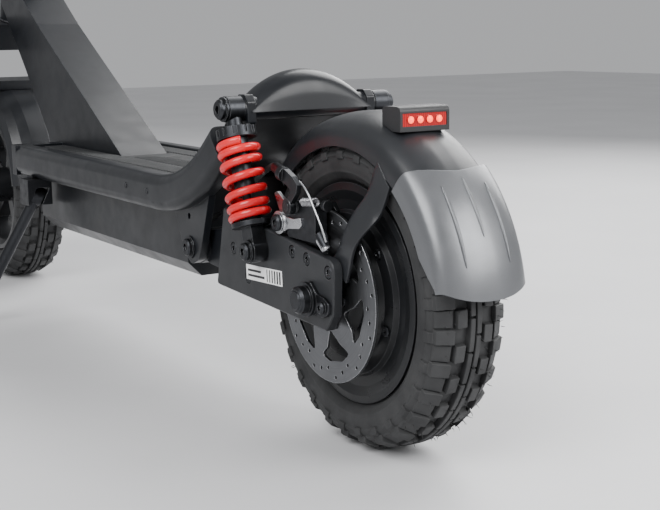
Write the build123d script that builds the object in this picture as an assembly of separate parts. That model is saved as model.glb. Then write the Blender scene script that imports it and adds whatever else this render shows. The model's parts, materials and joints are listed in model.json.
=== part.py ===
"""Electric kick scooter with twin rear coil-over shocks, rear cable disc brake and folding stem.

Model frame while building: X forward from the rear axle, Y to the rider's left, Z up from the ground.
Every node is shifted along X on export, so that the scooter's box is centred on the origin.
"""

import math
import os

from build123d import *

# ---- driving dimensions, mm ----
WHEELBASE = 930.0
TYRE_R = 129.0
TYRE_HALF_W = 34.0
RAKE = 15.0
ORIGIN_X = -455.56
RUN = 0.05  # radial running clearance on pins and shafts

RAIL_Y = 75.0
RAIL_W = 22.0
RAIL_H = 35.0
RAIL_Z = 189.5
RAIL_BEND_R = 190.0
RAIL_RISE = 38.0
RAIL_BEND_X = 260.0
DECK_FRONT_X = 650.0
DECK_TOP = 202.0
DECK_T = 4.0
MAT_T = 3.0
INNER_Y = RAIL_Y - RAIL_W / 2

PIVOT = (207.0, 143.0)  # swingarm pivot, X and Z
PIVOT_R = 6.0
SHOCK_TOP = (112.0, 274.0)
SHOCK_LOW = (76.0, 158.0)
SHOCK_Y = 73.0
SHOCK_TOP_BOLT_R = 5.0
SHOCK_LOW_BOLT_R = 4.0
SHOCK_LOW_CLEARANCE = 0.5
SHOCK_LEN = math.dist(SHOCK_TOP, SHOCK_LOW)
RING_S = 17.0  # preload ring, spring and lower collar, measured down from the upper eye
SPRING_S = 26.0
COLLAR_S = 97.0

PLATE_IN = 58.0
PLATE_OUT = 66.0
AXLE_R = 8.0
ROTOR_R = 70.0
ROTOR_Y = 48.0
ROTOR_T = 2.4
RIM_R = 82.0
FLANGE_R = 90.0

PLATE_SCREWS = ((28, 163), (5, 160), (-27, 154), (104, 130), (130, 152))
ARM_PIVOT = (27.0, 200.0)  # brake arm on the caliper, X and Z
BRACKET_EYE = (47.5, 184.5)
CABLE = [(61.2, 60.7, 228.1), (80, 52, 228), (97, 47.5, 223.5), (114, 46, 216), (138, 46, 204), (166, 46, 188),
         (194, 45.5, 173), (220, 44.5, 164), (250, 44, 159)]
CABLE_R = 2.5

FENDER_R = 146.0
FENDER_T = 3.0
FENDER_HALF_W = 38.5
FENDER_DEPTH = 27.0
FENDER_FRONT = 42.0
FENDER_SEAM = 137.0
FENDER_END = 174.0
LIGHT_X = -64.0
LIGHT_Z = 271.0
LED_Y = (-13.2, -4.4, 4.4, 13.2)

STAND_PIVOT = (600.0, 80.0, 152.0)
STAND_FOOT = (640.0, 150.0, 7.0)
STAND_AXIS = (0.089, 0.893, 0.440)

STANCHION_Y = 62.0
STANCHION_R = 12.0
STEERER_R = 14.0
FOLD_PIVOT = (-36.0, 366.0)  # in the steering frame: forward, along the axis
BAR_S = 1030.0
BAR_R = 11.0
BAR_HALF = 300.0
LEVER_PIVOT = (30.0, 150.0)  # forward of the bar, and out along it

STEER = Plane(
    origin=(WHEELBASE, 0, TYRE_R),
    x_dir=(math.cos(math.radians(RAKE)), 0, math.sin(math.radians(RAKE))),
    z_dir=(-math.sin(math.radians(RAKE)), 0, math.cos(math.radians(RAKE))),
)
SHOCK = Plane(
    origin=(SHOCK_TOP[0], SHOCK_Y, SHOCK_TOP[1]),
    x_dir=(0, 1, 0),
    z_dir=(SHOCK_LOW[0] - SHOCK_TOP[0], 0, SHOCK_LOW[1] - SHOCK_TOP[1]),
)
UPRIGHT = (Align.CENTER, Align.CENTER, Align.MIN)


# ---- small shape helpers ----
def slab(points, y0, y1, r=0.0):
    """Plate with an outline in X and Z, solid from y0 to y1."""
    face = Polygon(*points, align=None)
    if r:
        face = fillet(face.vertices(), r)
    return extrude(Plane.XZ.offset(-y1) * face, y1 - y0, dir=(0, -1, 0))


def bar_y(x, z, r, y0, y1):
    """Round bar along Y."""
    return Plane((x, y0, z), x_dir=(1, 0, 0), z_dir=(0, 1, 0)) * Cylinder(r, y1 - y0, align=UPRIGHT)


def bar(p0, p1, r):
    """Round bar between two points."""
    run = Vector(*p1) - Vector(*p0)
    return Plane(Vector(*p0), z_dir=run) * Cylinder(r, run.length, align=UPRIGHT)


def block(x0, x1, y0, y1, z0, z1):
    """Box between two corners."""
    return Pos(x0, y0, z0) * Box(x1 - x0, y1 - y0, z1 - z0, align=(Align.MIN, Align.MIN, Align.MIN))


def hexagon_y(x, z, r, y0, y1):
    """Hexagonal bar along Y, for sockets."""
    face = RegularPolygon(r, 6)
    return extrude(Plane((x, y0, z), x_dir=(1, 0, 0), z_dir=(0, 1, 0)) * face, y1 - y0)


def socket_screw(x, z, r, y0, y1, head_r, head_t):
    """Button-head socket screw along +Y: shank from y0 to y1, head beyond y1."""
    head = bar_y(x, z, head_r, y1, y1 + head_t)
    head = chamfer(head.edges().sort_by(Axis.Y)[-1], head_t * 0.35)
    return bar_y(x, z, r, y0, y1) + head - hexagon_y(x, z, head_r * 0.45, y1 + head_t * 0.4, y1 + head_t + 1)


def both(shape):
    """A shape and its mirror image on the other side of the scooter."""
    return shape + mirror(shape, Plane.XZ)


def turned(points, x=0.0, z=TYRE_R):
    """Solid of revolution about the Y line through (x, z) from points of (radius, y)."""
    face = Plane((x, 0, z), x_dir=(1, 0, 0), z_dir=(0, 0, 1)) * Polygon(*points, align=None)
    return revolve(face, Axis((x, 0, z), (0, 1, 0)))


def sector(points, start, end):
    """Part turn of an outline of (radius, y) about the rear axle, angles up from +X over the top."""
    face = Polygon(*points, align=None)
    c, s = math.cos(math.radians(start)), math.sin(math.radians(start))
    placed = Plane((0, 0, TYRE_R), x_dir=(c, 0, s), z_dir=(-s, 0, c)) * face
    return revolve(placed, Axis((0, 0, TYRE_R), (0, -1, 0)), end - start)


def down(s0, s1, r):
    """Round bar on the left shock's axis, from s0 to s1 below the upper eye."""
    return SHOCK * (Pos(0, 0, s0) * Cylinder(r, s1 - s0, align=UPRIGHT))


# ---- frame ----
def rail_path(y):
    """Centre line of a side rail: flat, then up to the shock mount."""
    rise = math.radians(RAIL_RISE)
    corner_x = RAIL_BEND_X - RAIL_BEND_R * math.tan(rise / 2)
    end_x = 124.0
    end_z = RAIL_Z + (corner_x - end_x) * math.tan(rise)
    front = (DECK_FRONT_X, y, RAIL_Z)
    return FilletPolyline(front, (corner_x, y, RAIL_Z), (end_x, y, end_z), radius=RAIL_BEND_R)


def left_rail():
    section = Polygon(
        (-RAIL_W / 2, -RAIL_H / 2),
        (RAIL_W / 2, -RAIL_H / 2),
        (RAIL_W / 2, RAIL_H / 2),
        (-RAIL_W / 2, RAIL_H / 2),
        align=None,
    )
    section = fillet(section.vertices().group_by(Axis.X)[-1], 10)
    section = fillet(section.vertices().group_by(Axis.X)[0], 3)
    start = Plane((DECK_FRONT_X, RAIL_Y, RAIL_Z), x_dir=(0, 1, 0), z_dir=(-1, 0, 0))
    rail = sweep(start * section, path=rail_path(RAIL_Y))
    for x, z in ((318, 191), (268, 190)):
        rail -= bar_y(x, z, 3, RAIL_Y, RAIL_Y + RAIL_W)
    return rail - bar_y(*SHOCK_TOP, 12.2, 60, 90) - down(-10, 130, 19.6)


def pivot_bracket():
    """Tapered plate welded under the rail, which carries the swingarm pivot."""
    plate = slab([(243, 185), (219, 137), (205, 127), (190, 133), (182, 150), (158, 214), (200, 200)],
                 INNER_Y, INNER_Y + 7)
    plate = fillet(plate.edges().filter_by(Axis.Y).sort_by(Axis.Z)[:3], 9)
    return plate - bar_y(*PIVOT, PIVOT_R, 0, 100) - bar_y(207, 172, 3, 0, 100)


def shock_cross_tube():
    """Tube over the rear wheel with an upright ear at each end, inboard of the shock eye."""
    ear = slab([(101, 262), (101, 280), (107, 286), (117, 286), (124, 279), (138, 262), (136, 240), (130, 236)],
               INNER_Y - 8, INNER_Y - 0.2, 3)
    spacer = bar_y(*SHOCK_TOP, 10.5, INNER_Y - 0.2, SHOCK_Y - 7.3)
    ear -= down(15.5, 130, 18.4)
    tube = both(bar_y(*SHOCK_TOP, 10, 0, INNER_Y - 8) + ear + spacer)
    return tube - both(bar_y(*SHOCK_TOP, SHOCK_TOP_BOLT_R, 40, 90))


def suspension_bolts():
    """Swingarm pivot bolt and the two shock top bolts."""
    washer = bar_y(*PIVOT, 10.5, INNER_Y + 7, INNER_Y + 8.4)
    head = chamfer(bar_y(*PIVOT, 8, INNER_Y + 8.4, INNER_Y + 12.4).edges().sort_by(Axis.Y)[-1], 1.2)
    pivot = bar_y(*PIVOT, PIVOT_R, -INNER_Y - 7, INNER_Y + 7) + both(washer + head)
    pivot -= both(hexagon_y(*PIVOT, 4, INNER_Y + 10.4, INNER_Y + 20))
    top = socket_screw(*SHOCK_TOP, SHOCK_TOP_BOLT_R, 41, SHOCK_Y + 9.4, 8.5, 5)
    top += bar_y(*SHOCK_TOP, 10.5, SHOCK_Y + 7.4, SHOCK_Y + 9.4)
    return pivot + both(top)


def battery_tray():
    outer = block(240, 645, -58, 58, 108, DECK_TOP - DECK_T)
    outer = chamfer(outer.edges().filter_by(Axis.X).sort_by(Axis.Z)[:2], 14)
    tray = outer - block(243, 642, -55, 55, 122.5, 210) - block(243, 642, -41, 41, 111, 130)
    tray -= bar((230, 44, 161), (250, 44, 161), 9)
    return tray - bar_y(560, 152, 8.5, -70, -50)


def deck_plate():
    plate = block(RAIL_BEND_X, 645, -INNER_Y, INNER_Y, DECK_TOP - DECK_T, DECK_TOP)
    return plate - left_rail() - mirror(left_rail(), Plane.XZ)


def deck_mat():
    mat = block(262, 636, -59.4, 59.4, DECK_TOP, DECK_TOP + MAT_T)
    mat = fillet(mat.edges().filter_by(Axis.Z), 6)
    ribs = Part()
    for i in range(24):
        x = 272 + 8 * i
        ribs += block(x, x + 4, 22, 56, DECK_TOP + MAT_T - 0.1, DECK_TOP + MAT_T + 1)
    return mat + both(ribs) - block(462, 650, -28.5, 28.5, 190, 230)


def kickplate():
    """Panel that carries the deck up between the rails, ending in a hollow domed cowl."""
    centre_z = RAIL_Z + RAIL_BEND_R
    top_r = centre_z - DECK_TOP
    low_r = top_r + 4
    rise = math.radians(RAIL_RISE)
    reach = 36.0

    def line(radius):
        foot = (RAIL_BEND_X, centre_z - radius)
        knee = (RAIL_BEND_X - radius * math.sin(rise), centre_z - radius * math.cos(rise))
        mid = (RAIL_BEND_X - radius * math.sin(rise / 2), centre_z - radius * math.cos(rise / 2))
        tip = (knee[0] - reach * math.cos(rise), knee[1] + reach * math.sin(rise))
        return foot, mid, knee, tip

    top, low = line(top_r), line(low_r)
    edges = [
        ThreePointArc(top[0], top[1], top[2]),
        Line(top[2], top[3]),
        Line(top[3], low[3]),
        Line(low[3], low[2]),
        ThreePointArc(low[2], low[1], low[0]),
        Line(low[0], top[0]),
    ]
    half = INNER_Y - 0.3
    panel = extrude(Plane.XZ.offset(-half) * make_face(edges), 2 * half, dir=(0, -1, 0))
    outer = [(183, 222), (142, 290), (130, 305), (112, 305), (103, 285), (125, 285), (125, 256)]
    inner = [(180, 221), (140, 287), (128, 302), (114, 302), (107, 288), (128, 288), (128, 250)]
    shell = slab(outer, -61, 61, 2) & bar((90, 0, 229), (200, 0, 229), 76)
    core = slab(inner, -58, 58, 2) & bar((90, 0, 229), (200, 0, 229), 73)
    cowl = shell - core
    under = [(122.4, 259.8), (150.7, 237.6), (186, 216), (200, 190), (122.4, 190)]
    cleared = cowl - slab(under, -70, 70)
    tube_room = bar_y(*SHOCK_TOP, 10.6, -70, 70) + both(block(90, 142, INNER_Y - 8.3, 70, 225, 320))
    return panel + cleared - tube_room - bar_y(122, 292, 2.5, -1, 1)


def frame_neck():
    """Box beam from the deck up to the head tube, with the front crossmember."""
    outline = [(462, 202), (540, 247), (649, 309), (720, 350), (838, 428), (862, 385), (770, 292), (700, 216),
               (672, 172), (650, 172), (650, 202)]
    inside = Plane.XZ.offset(-23) * offset(Polygon(*outline, align=None), -4)
    beam = slab(outline, -27, 27) - extrude(inside, 46, dir=(0, -1, 0))
    cross = block(650, 672, -86, 86, 172, 207)
    cross = fillet(cross.edges().filter_by(Axis.Z).sort_by(Axis.X)[-2:], 10)
    head = STEER * Pos(0, 0, 238) * Cylinder(25, 100, align=UPRIGHT)
    bore = STEER * Pos(0, 0, 230) * Cylinder(20, 116, align=UPRIGHT)
    below_deck = block(640, 650, -86, 86, 160, 202)
    return beam + cross + head - bore - below_deck


def headset_cups():
    ring = Cylinder(20, 12, align=UPRIGHT) + Pos(0, 0, -2) * Cylinder(24.5, 2, align=UPRIGHT)
    lower = ring - Cylinder(STEERER_R + RUN, 60)
    upper = mirror(lower, Plane.XY)
    return STEER * (Pos(0, 0, 238) * lower + Pos(0, 0, 338) * upper)


def frame_screws():
    """Button-head screws of the deck plate and the plugs in the rails."""
    screws = Part()
    for x in (275, 360, 445, 630):
        screws += Pos(x, 61.8, DECK_TOP) * Cylinder(2, 2.2, align=UPRIGHT)
    plug = bar_y(318, 191, 3, RAIL_Y + 2, RAIL_Y + RAIL_W / 2 + 0.6)
    plug += bar_y(268, 190, 3, RAIL_Y + 2, RAIL_Y + RAIL_W / 2 + 0.6)
    return both(screws + plug)


def battery_pack():
    pack = block(262, 520, -50, 50, 122.6, 188)
    return fillet(pack.edges().filter_by(Axis.Z), 6)


def motor_controller():
    case = block(535, 625, -38, 38, 111, 146)
    for i in range(6):
        y = -30 + 12 * i - 2
        case += block(535, 625, y, y + 3, 146, 152)
    return case


# ---- kickstand and charge port ----
def kickstand_bracket():
    """Clevis under the left rail, cut so that the leg can swing down and back in it."""
    pivot = Plane(STAND_PIVOT, z_dir=STAND_AXIS)
    body = block(586, 614, 66, 95, 142, RAIL_Z - RAIL_H / 2)
    swing = pivot * Cylinder(70, 13.8) & block(500, 700, 0, 200, 100, 162)
    body -= pivot * Cylinder(12, 13.8) + swing
    return body + pivot * Cylinder(4, 20)


def kickstand_leg():
    pivot = Plane(STAND_PIVOT, z_dir=STAND_AXIS)
    hub = pivot * (Pos(0, 0, -6) * Cylinder(11, 12, align=UPRIGHT))
    leg = bar(STAND_PIVOT, STAND_FOOT, 6.5)
    foot = Pos(*STAND_FOOT) * Sphere(11)
    shape = hub + leg + foot - block(600, 680, 100, 200, -20, 0)
    return shape - pivot * Cylinder(4 + RUN, 60)


def charge_cap():
    """Rubber cap on a hinge lug over the charging socket."""
    cap = bar_y(560, 152, 12, -61.3, -58.3) + bar_y(560, 152, 7.5, -58.3, -57)
    lug = block(555, 565, -61.3, -58.3, 160, 170)
    return cap + lug + bar((555, -60.3, 169), (565, -60.3, 169), 2)


# ---- swingarm ----
def swingarm_core():
    """Pivot tube, two short arms inside the plates and a cross tube in front of the tyre."""
    tube = bar_y(*PIVOT, 16, -62, 62)
    arm = slab([(86, 121), (86, 166), (150, 166), (212, 157), (214, 133), (190, 128)], 47, PLATE_IN, 4)
    cross = bar_y(160, 143, 14, -48, 48)
    return both(arm) + tube + cross - bar_y(*PIVOT, PIVOT_R + RUN, -70, 70)


def swingarm_plate():
    outline = [(164, 115), (147, 186), (-36, 163), (-34, 121), (-23, 107)]
    face = Polygon(*outline, align=None)
    by_x = face.vertices().sort_by(Axis.X)
    face = fillet(by_x[0], 9)
    face = fillet(face.vertices().sort_by(Axis.X)[-2:], 3)
    plate = extrude(Plane.XZ.offset(-PLATE_OUT) * face, PLATE_OUT - PLATE_IN, dir=(0, -1, 0))
    plate = chamfer(plate.faces().sort_by(Axis.Y)[-1].edges(), 0.8)
    plate -= slab([(72, 192), (74, 178.5), (101, 169.9), (108, 192)], 50, 70)
    plate -= bar_y(0, TYRE_R, AXLE_R, 40, 80)
    plate -= bar_y(*SHOCK_LOW, SHOCK_LOW_BOLT_R, 40, 80)
    for x, z in PLATE_SCREWS:
        plate -= bar_y(x, z, 3, 40, 80)
        plate -= bar_y(x, z, 5.6, PLATE_OUT - 3, 80)
    return plate


def swingarm_bolts():
    """Flush socket screws of the plates and the two lower shock bolts."""
    screws = Part()
    for x, z in PLATE_SCREWS:
        screws += socket_screw(x, z, 3, PLATE_IN, PLATE_OUT - 3, 5.5, 3)
    low = socket_screw(*SHOCK_LOW, SHOCK_LOW_BOLT_R, PLATE_IN, SHOCK_Y + 8.6, 7.5, 4.5)
    low += bar_y(*SHOCK_LOW, 9.5, SHOCK_Y + 6.8, SHOCK_Y + 8.6)
    low += bar_y(*SHOCK_LOW, 9, PLATE_OUT, SHOCK_Y - 6.8)
    return both(screws + low)


def rear_axle():
    axle = bar_y(0, TYRE_R, AXLE_R, -81, 81)
    return chamfer(axle.edges().filter_by(GeomType.CIRCLE), 1)


def axle_nuts():
    """Flanged domed nuts with a lock plate that a small screw holds."""
    lock = slab([(-13, 118), (-16, 134), (-4, 144), (10, 140), (13, 126), (4, 115)], PLATE_OUT, PLATE_OUT + 3, 4)
    lock += slab([(-31, 122), (-32, 130), (-24, 134), (-6, 136), (-6, 119), (-24, 118)], PLATE_OUT, PLATE_OUT + 3, 3)
    nut = bar_y(0, TYRE_R, 14, PLATE_OUT + 3, PLATE_OUT + 6)
    crown = bar_y(0, TYRE_R, 11, PLATE_OUT + 6, PLATE_OUT + 14)
    nut += chamfer(crown.edges().sort_by(Axis.Y)[-1], 2)
    small = socket_screw(-23, 126, 2, PLATE_OUT + 2, PLATE_OUT + 3, 5, 3.5)
    return both(lock + nut + small - bar_y(0, TYRE_R, AXLE_R, 60, 90))


def rear_stator():
    ring = bar_y(0, TYRE_R, 62, -17, 17) - bar_y(0, TYRE_R, AXLE_R, -20, 20)
    for i in range(12):
        a = math.radians(30 * i)
        ring -= bar_y(50 * math.cos(a), TYRE_R + 50 * math.sin(a), 6, -20, 20)
    return ring


# ---- rear wheel ----
def tyre():
    """Plain tyre, seated on the rim at RIM_R, with its tread face flat."""
    outline = [(RIM_R, -23), (90.5, -23.5), (93, -29), (103, -33), (112, -TYRE_HALF_W), (121, -32), (TYRE_R, -25),
               (TYRE_R, 25), (121, 32), (112, TYRE_HALF_W), (103, 33), (93, 29), (90.5, 23.5), (RIM_R, 23)]
    return turned(outline)


def rear_hub():
    """Motor shell: rim, right wall and bearing boss in one casting."""
    shell = [(76, 24), (RIM_R, 24), (RIM_R, -23), (89, -23.5), (FLANGE_R, -28), (84, -28), (74, -26), (60, -30),
             (45, -36), (26, -38), (26, -44), (16.5, -44), (16.5, -34), (40, -32), (56, -26), (70, -22), (76, -20)]
    return turned(shell)


def rear_hub_cover():
    """Left cover of the motor: stepped wall, disc seat and bearing boss."""
    rings = [(76, 24.1), (RIM_R, 24.1), (89, 23.6), (FLANGE_R, 28), (84, 29), (76, 27), (68, 27), (66, 31.4), (54, 31.4),
             (52, 36), (34, 38), (30, ROTOR_Y), (16.5, ROTOR_Y), (16.5, 36), (40, 32), (56, 26), (70, 23), (76, 22)]
    cover = turned(rings)
    for i in range(6):
        a = math.radians(60 * i + 20)
        cover -= bar_y(60 * math.cos(a), TYRE_R + 60 * math.sin(a), 2.5, 20, 40)
    return cover


def rear_bearings():
    ring = bar_y(0, TYRE_R, 16.5, 36.2, 46) - bar_y(0, TYRE_R, AXLE_R + RUN, 30, 50)
    other = bar_y(0, TYRE_R, 16.5, -43.8, -34.2) - bar_y(0, TYRE_R, AXLE_R + RUN, -50, -30)
    return ring + other


def rotor_window(turn):
    """Swirl window of the disc, between the hub spider and the braking band."""
    points = [(24, 10), (40, 2), (52, -8), (53.5, 6), (47, 24), (38, 33), (36, 22)]
    window = extrude(Polygon(*points, align=None), 20, both=True)
    window = fillet(window.edges().filter_by(Axis.Z), 2.5)
    face = Plane((0, ROTOR_Y, TYRE_R), x_dir=(1, 0, 0), z_dir=(0, -1, 0))
    return face * (Rot(0, 0, turn) * window)


def rear_rotor():
    disc = bar_y(0, TYRE_R, ROTOR_R, ROTOR_Y, ROTOR_Y + ROTOR_T) - bar_y(0, TYRE_R, 17, 40, 60)
    for i in range(6):
        disc -= rotor_window(60 * i)
        a = math.radians(60 * i)
        disc -= bar_y(23.5 * math.cos(a), TYRE_R + 23.5 * math.sin(a), 2.5, 40, 60)
    for i in range(36):
        a = math.radians(10 * i)
        r = (58.5, 62, 65.5)[i % 3]
        disc -= bar_y(r * math.cos(a), TYRE_R + r * math.sin(a), 1.6, 40, 60)
    return disc


def wheel_screws():
    """Disc screws and motor cover screws."""
    screws = Part()
    for i in range(6):
        a = math.radians(60 * i)
        screws += socket_screw(23.5 * math.cos(a), TYRE_R + 23.5 * math.sin(a), 2.5, ROTOR_Y,
                               ROTOR_Y + ROTOR_T, 4.2, 1.8)
        b = math.radians(60 * i + 20)
        screws += socket_screw(60 * math.cos(b), TYRE_R + 60 * math.sin(b), 2.5, 29, 31.4, 4.2, 2.2)
    return screws


# ---- rear brake ----
def caliper_bracket():
    """Silver mount: an eye on its screw, a waisted arm back to the caliper, and a foot on the plate."""
    eye = bar_y(*BRACKET_EYE, 9.5, 59, 67)
    arm = slab([(50, 193.5), (36, 190), (24, 190), (14, 192), (12, 186), (16, 183), (34, 181), (46, 175.4)], 60, 66, 1.5)
    foot = slab([(56, 186), (39, 186), (43, 150), (56, 150)], 52, PLATE_IN, 2)
    post = bar_y(*BRACKET_EYE, 7, 52, 59)
    screw_room = bar_y(*BRACKET_EYE, 4, 40, 70)
    top_plate = slab([(69, 206), (64, 208), (52, 201), (46, 186), (56, 184)], 55, 58, 1)
    return eye + arm + foot + post + top_plate - screw_room


def caliper_body():
    """Two half bodies bridged over the disc, with the arm's pivot boss and the adjuster."""
    body = block(-6, 38, 41, 64, 170, 205)
    body = chamfer(body.edges().filter_by(Axis.Y), 6)
    body -= bar_y(0, TYRE_R, ROTOR_R + 2, 45, 53.4)
    body -= block(-60, 60, PLATE_IN - 0.3, 70, 160, 174)
    boss = bar_y(*ARM_PIVOT, 7, 60, 65.4)
    pin = bar_y(*ARM_PIVOT, 3.5, 65, 71.4)
    adjuster = bar((-6, 58, 204), (-14, 58, 204), 2)
    knob = bar((-12, 58, 204), (-16, 58, 204), 4.5)
    stop = bar((-9, 62, 181), (-19, 62, 171.5), 4)
    stop += slab([(2, 180), (-14, 184), (-18, 176), (-2, 174.5)], 59, 62)
    bolt = socket_screw(*BRACKET_EYE, 4, 52, 67, 7, 4)
    cap = bar_y(12, 184, 8, 37, 41)
    shape = body + boss + pin + adjuster + knob + stop + cap
    return shape - caliper_bracket() + bolt


def caliper_arm():
    """Curved actuating arm: boss on the caliper pin, cable clamp at its tip."""
    boss = bar_y(*ARM_PIVOT, 6.5, 65.8, 71)
    blade = slab([(22, 202), (12, 212), (10, 219), (18, 225), (30, 230), (40, 229), (40, 222), (30, 219), (22, 215),
                  (21, 210), (30, 204)], 66, 70.6, 1.2)
    clamp = bar((33, 68, 225), (39, 68, 226), 6)
    ferrule = bar((36, 68, 226), (60, 61, 228), 4.5)
    return boss + blade + clamp + ferrule - bar_y(*ARM_PIVOT, 3.5 + RUN, 60, 80)


def brake_pads():
    """Friction pads, 0.3 mm clear of the disc on each side."""
    pad = [(4, 174), (30, 174), (28, 190), (6, 192)]
    inner = slab(pad, 45, ROTOR_Y - 0.3, 2)
    outer = slab(pad, ROTOR_Y + ROTOR_T + 0.3, 53.4, 2)
    return (inner + outer) - caliper_body() - caliper_bracket()


def rear_brake_cable():
    """Brake cable housing from the arm's ferrule forward into the tray, held by the swingarm."""
    points = [Vector(*p) for p in CABLE]
    radii = []
    for a, b, c in zip(points, points[1:], points[2:]):
        turn = math.radians((b - a).get_angle(c - b))
        radii.append(0.45 * min((b - a).length, (c - b).length) / math.tan(turn / 2))
    print("cable radii", [round(r) for r in radii])
    path = FilletPolyline(*points, radius=radii)
    section = Plane(points[0], z_dir=points[1] - points[0]) * Circle(CABLE_R)
    return sweep(section, path=path)


# ---- rear fender and tail light ----
def fender_outline(outer, half_w, depth):
    """Outer side of a fender's section as (radius, y): flange, shoulder and crown from edge to edge."""
    left = [(outer - depth, half_w), (outer - 15, half_w), (outer - 7.5, half_w - 5.5),
            (outer - 2.5, half_w - 16.5), (outer, half_w - 30)]
    return left + [(r, -y) for r, y in reversed(left)]


def fender_section(outer, thick, half_w, depth):
    inner = fender_outline(outer - thick, half_w - thick, depth - thick)
    return fender_outline(outer, half_w, depth) + inner[::-1]


def fender_stay():
    """Band from the fender's flange down to the inner face of the swingarm plate."""
    across = Vector(75, 0, 55).normalized()
    along = Vector(-55, 0, 75).normalized()
    out = FENDER_HALF_W
    profile = Polygon((-9, -57.8), (30, -57.8), (70, -out - 2.6), (93, -out), (93, 3 - out), (68, 0.4 - out),
                      (28, -54.8), (-9, -54.8), align=None)
    base = Plane(Vector(-27, 0, 154) - across * 13, x_dir=along, z_dir=across)
    band = extrude(base * profile, 26, dir=across)
    return band - block(-60, 20, 50, 60, 120, 145)


def fender_shell():
    return sector(fender_section(FENDER_R, FENDER_T, FENDER_HALF_W, FENDER_DEPTH), FENDER_FRONT, FENDER_SEAM)


def rear_fender():
    stay = fender_stay() - bar_y(-27, 154, 3, 40, 70)
    return fender_shell() + both(stay - bar_y(0, TYRE_R, FENDER_R - 4, -20, FENDER_HALF_W - FENDER_T))


def fender_extension():
    """Lower, lighter panel of the fender, lapped over the end of the upper one."""
    outer = FENDER_R + FENDER_T * 0.9
    shell = sector(fender_section(outer, 2.4, FENDER_HALF_W + 2.8, FENDER_DEPTH), FENDER_SEAM - 3, FENDER_END)
    lap = sector(fender_outline(FENDER_R + 0.3, FENDER_HALF_W + 0.4, 60), FENDER_SEAM - 8, FENDER_SEAM)
    return shell - lap - rear_fender()


def tail_light_housing():
    """Hooded case that stands on the fender's crown."""
    case = block(LIGHT_X, LIGHT_X + 24, -23, 23, LIGHT_Z - 9, LIGHT_Z + 10)
    case = fillet(case.edges().filter_by(Axis.Y).sort_by(Axis.Z)[-2:], 4)
    case -= bar_y(0, TYRE_R, FENDER_R - FENDER_T + 0.4, -60, 60)
    case -= fender_shell()
    return case - block(LIGHT_X - 10, LIGHT_X + 3, -20.5, 20.5, LIGHT_Z - 5, LIGHT_Z + 5)


def tail_light_lens():
    lens = block(LIGHT_X + 0.5, LIGHT_X + 3, -20.5, 20.5, LIGHT_Z - 5, LIGHT_Z + 5)
    for y in LED_Y:
        lens += bar((LIGHT_X + 1, y, LIGHT_Z), (LIGHT_X - 0.4, y, LIGHT_Z), 3)
    return lens


# ---- shocks ----
def shock_body():
    eye = bar_y(*SHOCK_TOP, 11, SHOCK_Y - 7, SHOCK_Y + 7)
    tube = down(8, 24, 6.8) + down(24, 68, 9)
    bore = down(25, 70, 4 + RUN)
    return eye + tube - bore - bar_y(*SHOCK_TOP, SHOCK_TOP_BOLT_R + RUN, 60, 100)


def preload_ring():
    ring = down(RING_S, SPRING_S, 17) - down(RING_S - 1, 24, 7.6) - down(23.9, 40, 9.1)
    for i in range(12):
        notch = Rot(0, 0, 30 * i) * Pos(17, 0, RING_S + 3) * Box(4, 4, 7)
        ring -= SHOCK * notch
    return ring


def shock_rod():
    rod = down(42, COLLAR_S, 4)
    collar = down(COLLAR_S, COLLAR_S + 4, 17) + down(COLLAR_S - 5, COLLAR_S, 9)
    fork = SHOCK * (Pos(0, 0, COLLAR_S + 3) * Box(12, 18, SHOCK_LEN - COLLAR_S - 5, align=UPRIGHT))
    eye = bar_y(*SHOCK_LOW, 10, SHOCK_Y - 6.4, SHOCK_Y + 6.4)
    return rod + collar + fork + eye - bar_y(*SHOCK_LOW, SHOCK_LOW_BOLT_R + SHOCK_LOW_CLEARANCE, 60, 100)


def shock_spring():
    """Coil spring between the preload ring and the lower collar."""
    wire = 3.25
    coil_r = 15.2
    height = COLLAR_S - SPRING_S - 2 * wire - 0.6
    helix = Helix(height / 5.5, height, coil_r)
    section = Plane(helix @ 0, z_dir=helix % 0) * Circle(wire)
    coil = sweep(section, path=helix, is_frenet=True)
    return SHOCK * (Pos(0, 0, SPRING_S + wire + 0.3) * coil)


# ---- steering, in the steering frame: origin at the front axle, Z up the steering axis ----
def fork_crown():
    """Crown, stanchions and steerer, one assembly that turns in the headset."""
    crown = block(-20, 20, -80, 80, 200, 235)
    crown = fillet(crown.edges().filter_by(Axis.Z), 12)
    steerer = Pos(0, 0, 230) * Cylinder(STEERER_R, 136, align=UPRIGHT)
    legs = Part()
    for side in (1, -1):
        legs += Pos(0, side * STANCHION_Y, 62) * Cylinder(STANCHION_R, 150, align=UPRIGHT)
    return STEER * (crown + steerer + legs)


def fork_lowers():
    legs = Part()
    for side in (1, -1):
        leg = Pos(0, side * STANCHION_Y, -16) * Cylinder(16.5, 176, align=UPRIGHT)
        leg -= Pos(0, side * STANCHION_Y, 30) * Cylinder(STANCHION_R + RUN, 140, align=UPRIGHT)
        legs += leg
    bridge = block(-9, 9, -50, 50, 141.5, 154)
    bridge -= Pos(0, STANCHION_Y, 30) * Cylinder(16, 140, align=UPRIGHT)
    bridge -= Pos(0, -STANCHION_Y, 30) * Cylinder(16, 140, align=UPRIGHT)
    axle_hole = bar_y(0, 0, 6, -100, 100)
    return STEER * (legs + bridge - axle_hole)


def front_axle():
    axle = bar_y(0, 0, 6, -84, 84)
    nut = bar_y(0, 0, 10, 78.6, 86)
    spacer = bar_y(0, 0, 9, 28.4, 45.4)
    return STEER * (axle + both(chamfer(nut.edges().sort_by(Axis.Y)[-1], 2)) + both(spacer))


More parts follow.
